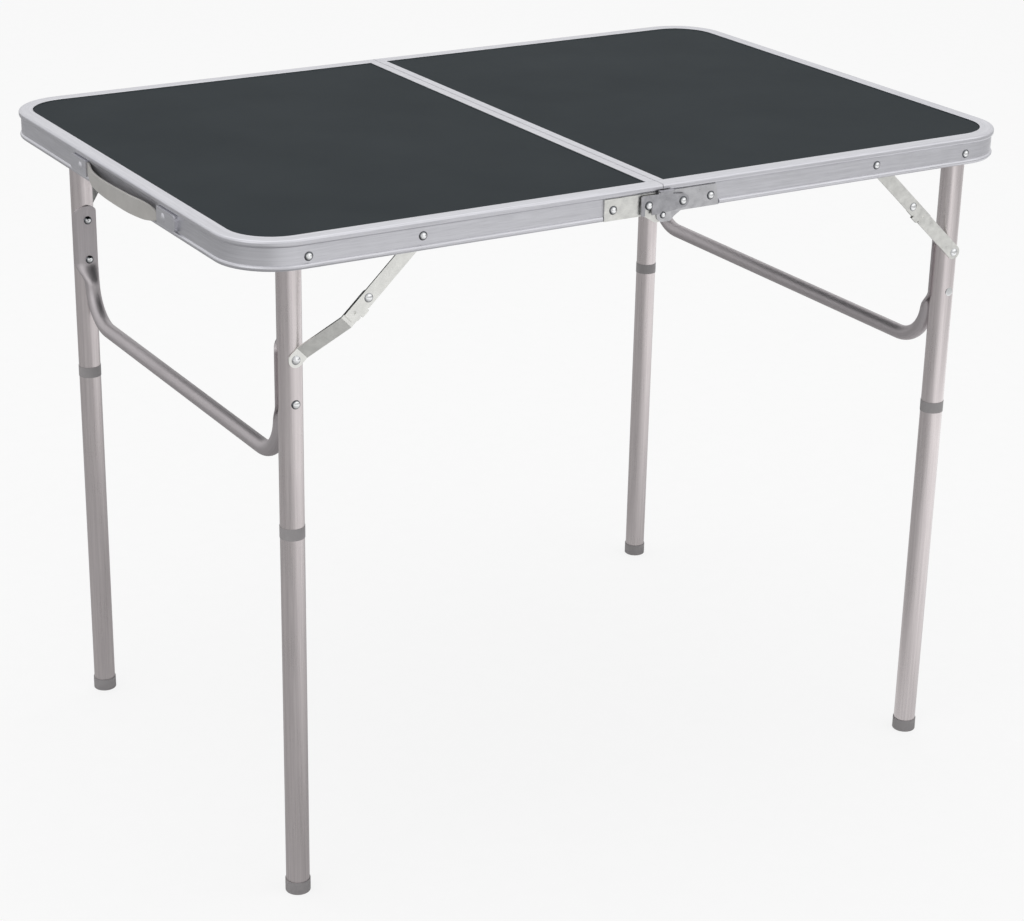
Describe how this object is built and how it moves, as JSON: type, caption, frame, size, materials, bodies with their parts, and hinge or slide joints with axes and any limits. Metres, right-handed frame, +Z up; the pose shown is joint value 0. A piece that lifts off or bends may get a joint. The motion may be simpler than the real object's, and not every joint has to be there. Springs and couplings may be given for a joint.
{
  "type": "folding camping table",
  "caption": "Rectangular two-part camping table with an aluminium edge frame, folding braced tube legs, locking stays, centre latches and a carrying handle.",
  "frame": {"origin": "on the floor, under the middle of the outline of the open table", "axes": "+X along the top away from the handle, +Y across the top to the rear, +Z up"},
  "size_m": [0.908, 0.6122, 0.7],
  "materials": {
    "frame_aluminium": "drawn and anodised, satin",
    "leg_aluminium": "satin drawn tube",
    "zinc_plate": "bright zinc plated pressed sheet",
    "rivet_steel": "polished",
    "board_slate": "thin board with a matt slate-grey foil",
    "grey_plastic": "moulded grey",
    "foot_rubber": "moulded grey rubber",
    "handle_plastic": "moulded warm grey"
  },
  "bodies": {
    "left_top": {"left_edge_frame": "frame_aluminium", "left_centre_bar": "frame_aluminium", "left_board": "board_slate", "left_leg_pivot_rivets": "rivet_steel", "left_leg_spacers": "zinc_plate", "left_stay_top_rivets": "rivet_steel", "left_front_hinge_plate": "zinc_plate", "left_rear_hinge_plate": "zinc_plate", "hinge_pins": "rivet_steel", "left_plate_rivets": "rivet_steel", "catch_studs": "rivet_steel", "handle_strap": "handle_plastic", "handle_lugs": "frame_aluminium", "handle_screws": "frame_aluminium"},
    "right_top": {"right_edge_frame": "frame_aluminium", "right_centre_bar": "frame_aluminium", "right_board": "board_slate", "right_leg_pivot_rivets": "rivet_steel", "right_leg_spacers": "zinc_plate", "right_stay_top_rivets": "rivet_steel", "right_front_hinge_plate": "zinc_plate", "right_rear_hinge_plate": "zinc_plate", "right_plate_rivets": "rivet_steel", "latch_pivots": "rivet_steel"},
    "front_latch": {"front_latch_lever": "zinc_plate"},
    "rear_latch": {"rear_latch_lever": "zinc_plate"},
    "left_leg_frame": {"left_front_upper_leg": "leg_aluminium", "left_rear_upper_leg": "leg_aluminium", "left_leg_brace": "leg_aluminium", "left_brace_rivets": "rivet_steel"},
    "left_front_lower_leg_unit": {"left_front_lower_leg": "leg_aluminium", "left_front_connector": "grey_plastic", "left_front_foot_cap": "foot_rubber"},
    "left_front_stay_upper": {"left_front_upper_link": "zinc_plate", "left_front_mid_rivet": "rivet_steel"},
    "left_front_stay_lower": {"left_front_lower_link": "zinc_plate"},
    "left_rear_lower_leg_unit": {"left_rear_lower_leg": "leg_aluminium", "left_rear_connector": "grey_plastic", "left_rear_foot_cap": "foot_rubber"},
    "left_rear_stay_upper": {"left_rear_upper_link": "zinc_plate", "left_rear_mid_rivet": "rivet_steel"},
    "left_rear_stay_lower": {"left_rear_lower_link": "zinc_plate"},
    "right_leg_frame": {"right_front_upper_leg": "leg_aluminium", "right_rear_upper_leg": "leg_aluminium", "right_leg_brace": "leg_aluminium", "right_brace_rivets": "rivet_steel"},
    "right_front_lower_leg_unit": {"right_front_lower_leg": "leg_aluminium", "right_front_connector": "grey_plastic", "right_front_foot_cap": "foot_rubber"},
    "right_front_stay_upper": {"right_front_upper_link": "zinc_plate", "right_front_mid_rivet": "rivet_steel"},
    "right_front_stay_lower": {"right_front_lower_link": "zinc_plate"},
    "right_rear_lower_leg_unit": {"right_rear_lower_leg": "leg_aluminium", "right_rear_connector": "grey_plastic", "right_rear_foot_cap": "foot_rubber"},
    "right_rear_stay_upper": {"right_rear_upper_link": "zinc_plate", "right_rear_mid_rivet": "rivet_steel"},
    "right_rear_stay_lower": {"right_rear_lower_link": "zinc_plate"}
  },
  "joints": [
    {"name": "top_fold", "type": "hinge", "parent": "left_top", "child": "right_top", "pos_m": [0.004, 0, 0.6695], "axis": [0, -1, 0], "range_deg": [-58, 0]},
    {"name": "front_latch_swing", "type": "hinge", "parent": "right_top", "child": "front_latch", "pos_m": [0.026, -0.3024, 0.6815], "axis": [0, 1, 0], "range_deg": [0, 60]},
    {"name": "rear_latch_swing", "type": "hinge", "parent": "right_top", "child": "rear_latch", "pos_m": [0.026, 0.3024, 0.6815], "axis": [0, 1, 0], "range_deg": [0, 60]},
    {"name": "left_legs_fold", "type": "hinge", "parent": "left_top", "child": "left_leg_frame", "pos_m": [-0.378, 0, 0.6825], "axis": [0, -1, 0], "range_deg": [0, 86]},
    {"name": "left_front_leg_pull", "type": "slide", "parent": "left_leg_frame", "child": "left_front_lower_leg_unit", "axis": [0, 0, -1], "range_m": [0, 0.042]},
    {"name": "left_front_stay_top_turn", "type": "hinge", "parent": "left_top", "child": "left_front_stay_upper", "pos_m": [-0.2605, -0.29445, 0.685], "axis": [0, -1, 0], "range_deg": [0, 135.25]},
    {"name": "left_front_stay_leg_turn", "type": "hinge", "parent": "left_leg_frame", "child": "left_front_stay_lower", "pos_m": [-0.378, -0.26835, 0.574], "axis": [0, -1, 0], "range_deg": [-123.86, 0]},
    {"name": "left_rear_leg_pull", "type": "slide", "parent": "left_leg_frame", "child": "left_rear_lower_leg_unit", "axis": [0, 0, -1], "range_m": [0, 0.042]},
    {"name": "left_rear_stay_top_turn", "type": "hinge", "parent": "left_top", "child": "left_rear_stay_upper", "pos_m": [-0.2605, 0.29445, 0.685], "axis": [0, -1, 0], "range_deg": [0, 135.25]},
    {"name": "left_rear_stay_leg_turn", "type": "hinge", "parent": "left_leg_frame", "child": "left_rear_stay_lower", "pos_m": [-0.378, 0.26835, 0.574], "axis": [0, -1, 0], "range_deg": [-123.86, 0]},
    {"name": "right_legs_fold", "type": "hinge", "parent": "right_top", "child": "right_leg_frame", "pos_m": [0.386, 0, 0.6825], "axis": [0, 1, 0], "range_deg": [0, 86]},
    {"name": "right_front_leg_pull", "type": "slide", "parent": "right_leg_frame", "child": "right_front_lower_leg_unit", "axis": [0, 0, -1], "range_m": [0, 0.042]},
    {"name": "right_front_stay_top_turn", "type": "hinge", "parent": "right_top", "child": "right_front_stay_upper", "pos_m": [0.2685, -0.29445, 0.685], "axis": [0, 1, 0], "range_deg": [0, 135.25]},
    {"name": "right_front_stay_leg_turn", "type": "hinge", "parent": "right_leg_frame", "child": "right_front_stay_lower", "pos_m": [0.386, -0.29275, 0.574], "axis": [0, 1, 0], "range_deg": [-123.86, 0]},
    {"name": "right_rear_leg_pull", "type": "slide", "parent": "right_leg_frame", "child": "right_rear_lower_leg_unit", "axis": [0, 0, -1], "range_m": [0, 0.042]},
    {"name": "right_rear_stay_top_turn", "type": "hinge", "parent": "right_top", "child": "right_rear_stay_upper", "pos_m": [0.2685, 0.29445, 0.685], "axis": [0, 1, 0], "range_deg": [0, 135.25]},
    {"name": "right_rear_stay_leg_turn", "type": "hinge", "parent": "right_leg_frame", "child": "right_rear_stay_lower", "pos_m": [0.386, 0.29275, 0.574], "axis": [0, 1, 0], "range_deg": [-123.86, 0]}
  ],
  "couplings": [
    {"joint": "front_latch_swing", "follows": "top_fold", "ratio": -1.0345},
    {"joint": "rear_latch_swing", "follows": "top_fold", "ratio": -1.0345},
    {"joint": "left_front_stay_top_turn", "follows": "left_legs_fold", "ratio": 1.5727},
    {"joint": "left_front_stay_leg_turn", "follows": "left_legs_fold", "ratio": -1.4401},
    {"joint": "left_rear_stay_top_turn", "follows": "left_legs_fold", "ratio": 1.5727},
    {"joint": "left_rear_stay_leg_turn", "follows": "left_legs_fold", "ratio": -1.4401},
    {"joint": "right_front_stay_top_turn", "follows": "right_legs_fold", "ratio": 1.5727},
    {"joint": "right_front_stay_leg_turn", "follows": "right_legs_fold", "ratio": -1.4401},
    {"joint": "right_rear_stay_top_turn", "follows": "right_legs_fold", "ratio": 1.5727},
    {"joint": "right_rear_stay_leg_turn", "follows": "right_legs_fold", "ratio": -1.4401}
  ]
}
